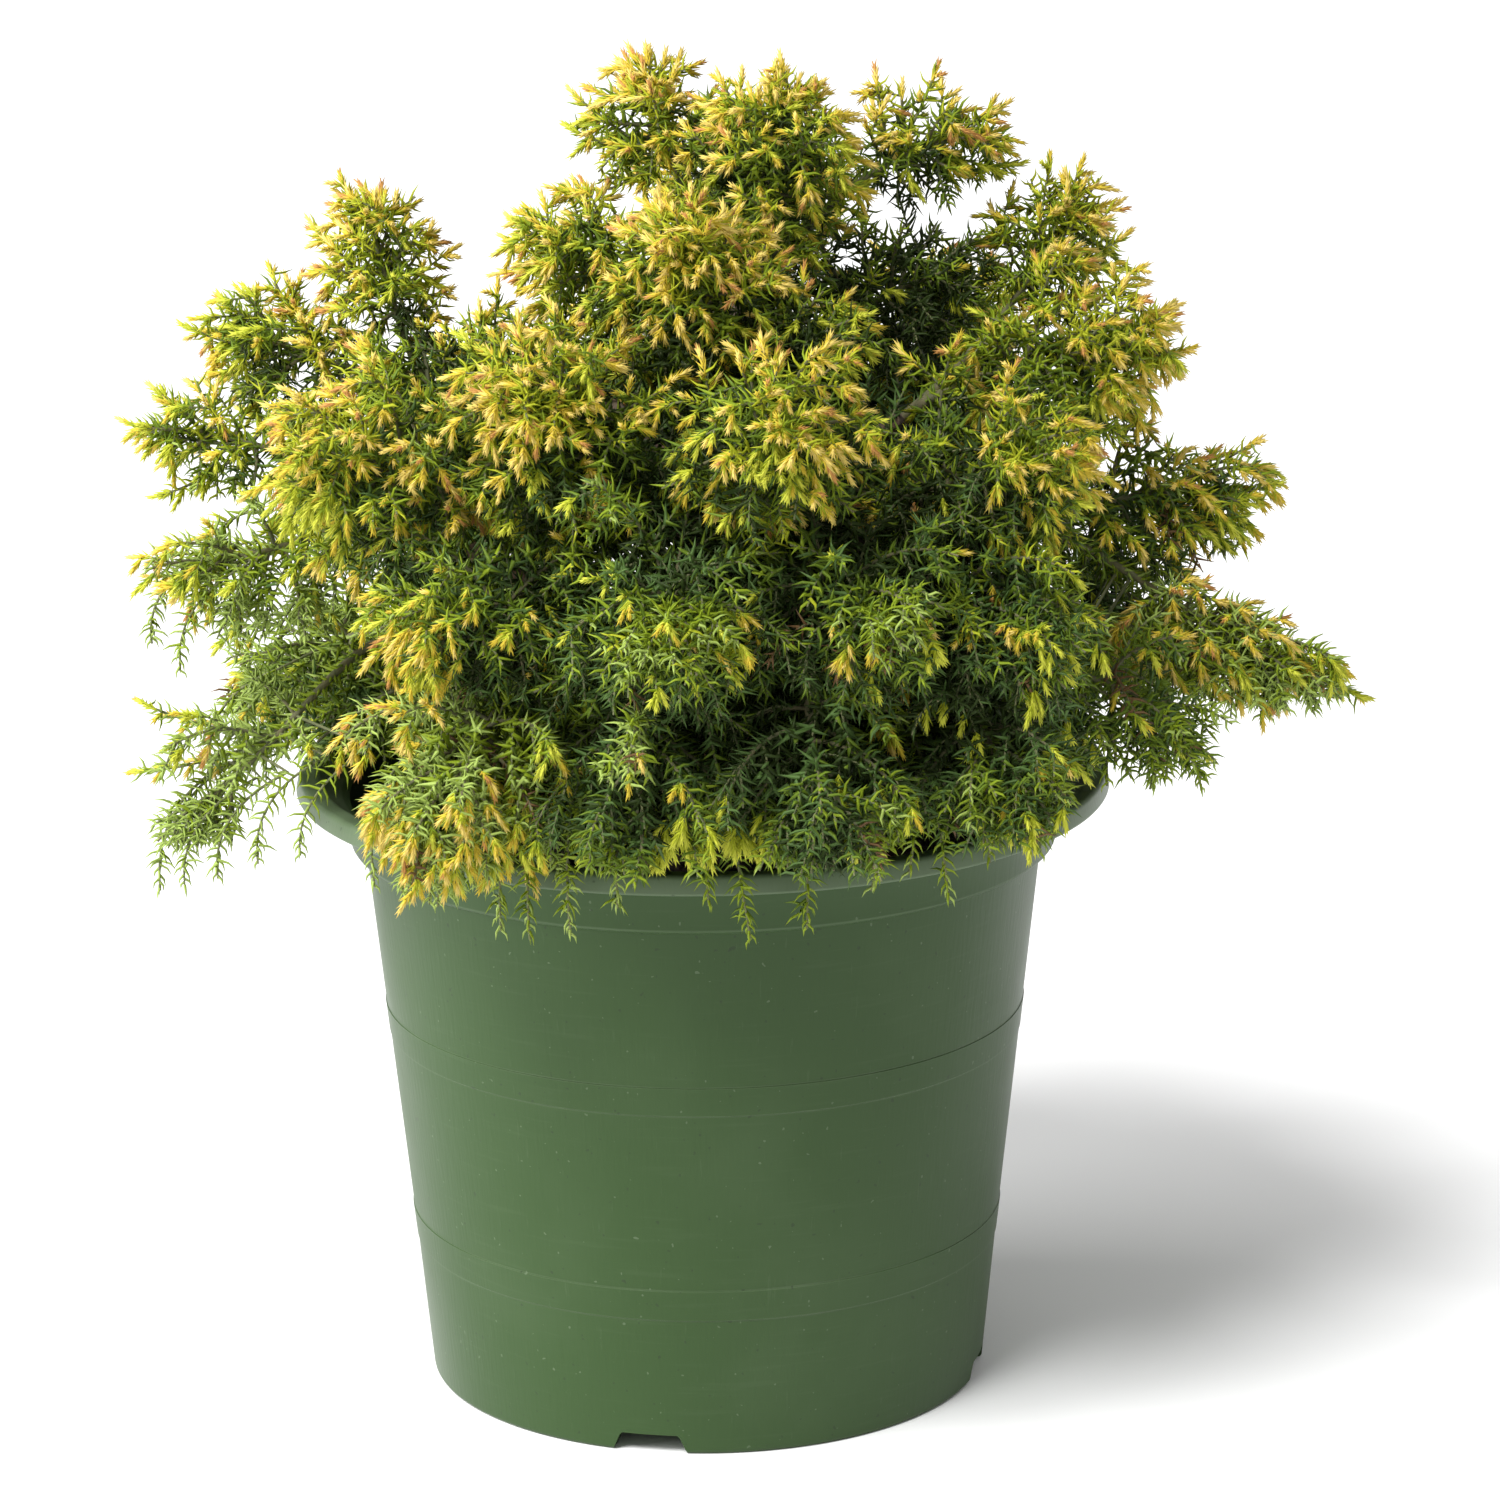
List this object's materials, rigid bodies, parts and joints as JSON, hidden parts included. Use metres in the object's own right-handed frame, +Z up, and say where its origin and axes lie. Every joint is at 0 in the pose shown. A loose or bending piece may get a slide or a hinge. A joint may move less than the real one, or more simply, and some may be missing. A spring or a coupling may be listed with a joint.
{
  "type": "potted dwarf japanese cedar",
  "caption": "Dwarf evergreen conifer with a rounded, many-headed crown of awl-shaped needles, gold at the tips and green within, in a round tapering nursery pot that stands on its flat foot.",
  "frame": {"origin": "centre of the pot's flat underside, where it stands on the ground", "axes": "+Z up along the pot's axis, -Y towards the front of the picture, +X to its right"},
  "size_m": [0.4197, 0.391, 0.4641],
  "materials": {
    "pot_plastic": "satin moulded plastic, lightly scuffed",
    "potting_mix": "moist crumbly bark and peat",
    "bark": "fibrous peeling bark",
    "green_needles": "waxy needles, satin",
    "golden_needles": "waxy young needles, satin"
  },
  "bodies": {
    "root": {"pot": "pot_plastic", "potting_mix": "potting_mix", "trunk": "bark", "left_peak_bough": "bark", "left_arm_bough": "bark", "left_front_bough": "bark", "front_left_bough": "bark", "left_low_bough": "bark", "front_middle_bough": "bark", "front_right_bough": "bark", "cushion_bough": "bark", "right_peak_bough": "bark", "right_front_bough": "bark", "right_side_bough": "bark", "right_arm_bough": "bark", "back_left_bough": "bark", "back_middle_bough": "bark", "back_right_bough": "bark", "back_upper_bough": "bark", "top_left_head_needles": "golden_needles", "top_centre_head_needles": "golden_needles", "top_right_head_needles": "golden_needles", "upper_left_front_needles": "golden_needles", "upper_front_needles": "golden_needles", "upper_right_front_needles": "golden_needles", "inner_right_needles": "golden_needles", "back_top_needles": "golden_needles", "left_peak_needles": "golden_needles", "left_shoulder_needles": "golden_needles", "left_inner_needles": "golden_needles", "left_arm_needles": "golden_needles", "left_side_needles": "green_needles", "left_front_needles": "golden_needles", "centre_left_needles": "golden_needles", "front_left_needles": "green_needles", "front_left_cushion_needles": "green_needles", "left_hanging_needles": "green_needles", "left_back_side_needles": "green_needles", "front_middle_needles": "green_needles", "front_hanging_left_needles": "green_needles", "front_right_middle_needles": "green_needles", "front_hanging_right_needles": "green_needles", "front_cushion_needles": "golden_needles", "right_peak_needles": "golden_needles", "right_shoulder_needles": "golden_needles", "right_front_needles": "golden_needles", "right_lower_front_needles": "green_needles", "right_side_needles": "green_needles", "right_arm_needles": "green_needles", "right_hanging_needles": "green_needles", "front_right_low_needles": "green_needles", "back_left_needles": "green_needles", "back_low_left_needles": "green_needles", "back_middle_needles": "green_needles", "back_low_right_needles": "green_needles", "back_right_needles": "green_needles", "right_back_side_needles": "green_needles", "back_upper_left_needles": "green_needles", "back_upper_right_needles": "golden_needles"}
  },
  "joints": []
}
